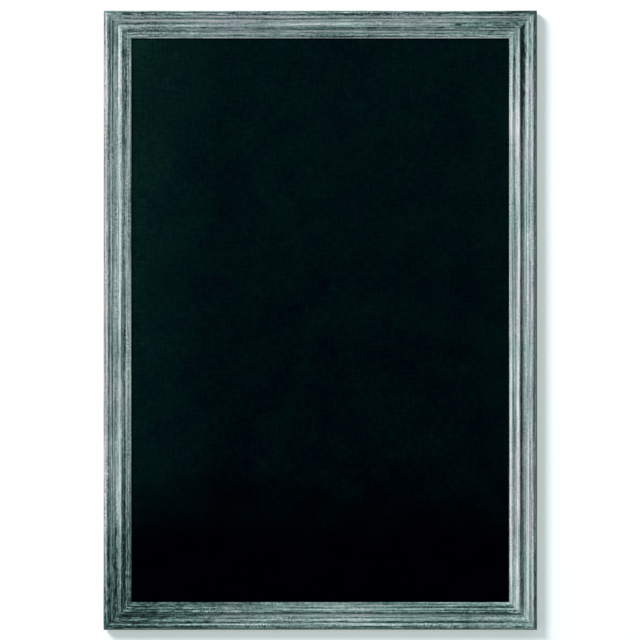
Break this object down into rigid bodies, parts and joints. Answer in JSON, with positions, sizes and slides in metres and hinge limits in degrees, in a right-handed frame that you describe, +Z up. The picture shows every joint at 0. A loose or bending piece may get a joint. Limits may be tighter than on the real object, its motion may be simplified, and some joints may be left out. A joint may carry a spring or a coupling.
{
  "type": "wall chalkboard",
  "caption": "Tall framed chalkboard: a matte black writing panel in a mitred, distressed moulding frame, with folding D-ring hangers on its back to hang it on a wall.",
  "frame": {"origin": "in the wall plane, behind the middle of the board's outline", "axes": "+Z up along the stiles, +X to the right of someone who faces the board, +Y from the board into the wall; the writing face looks along -Y"},
  "size_m": [0.7, 0.027, 1],
  "materials": {
    "frame_paint": "grey-green wash rubbed back to a dark undercoat on a wood moulding, matte",
    "writing_surface": "matte black blackboard coating on fibreboard",
    "hanger_steel": "zinc plated",
    "fastener_steel": "bright steel",
    "bumper_rubber": "soft matte"
  },
  "bodies": {
    "board": {"top_rail": "frame_paint", "bottom_rail": "frame_paint", "left_stile": "frame_paint", "right_stile": "frame_paint", "writing_panel": "writing_surface", "top_left_outer_v_nail": "fastener_steel", "top_left_inner_v_nail": "fastener_steel", "top_right_outer_v_nail": "fastener_steel", "top_right_inner_v_nail": "fastener_steel", "bottom_left_outer_v_nail": "fastener_steel", "bottom_left_inner_v_nail": "fastener_steel", "bottom_right_outer_v_nail": "fastener_steel", "bottom_right_inner_v_nail": "fastener_steel", "top_rail_point_1": "fastener_steel", "top_rail_point_2": "fastener_steel", "top_rail_point_3": "fastener_steel", "bottom_rail_point_1": "fastener_steel", "bottom_rail_point_2": "fastener_steel", "bottom_rail_point_3": "fastener_steel", "left_stile_point_1": "fastener_steel", "left_stile_point_2": "fastener_steel", "left_stile_point_3": "fastener_steel", "left_stile_point_4": "fastener_steel", "right_stile_point_1": "fastener_steel", "right_stile_point_2": "fastener_steel", "right_stile_point_3": "fastener_steel", "right_stile_point_4": "fastener_steel", "left_strap": "hanger_steel", "right_strap": "hanger_steel", "left_upper_screw": "fastener_steel", "left_lower_screw": "fastener_steel", "right_upper_screw": "fastener_steel", "right_lower_screw": "fastener_steel", "left_bumper": "bumper_rubber", "right_bumper": "bumper_rubber"},
    "left_ring": {"left_d_ring": "hanger_steel"},
    "right_ring": {"right_d_ring": "hanger_steel"}
  },
  "joints": [
    {"name": "left_ring_swing", "type": "hinge", "parent": "board", "child": "left_ring", "pos_m": [-0.3315, -0.00295, 0.35], "axis": [-1, 0, 0], "range_deg": [0, 179]},
    {"name": "right_ring_swing", "type": "hinge", "parent": "board", "child": "right_ring", "pos_m": [0.3315, -0.00295, 0.35], "axis": [-1, 0, 0], "range_deg": [0, 179]}
  ]
}
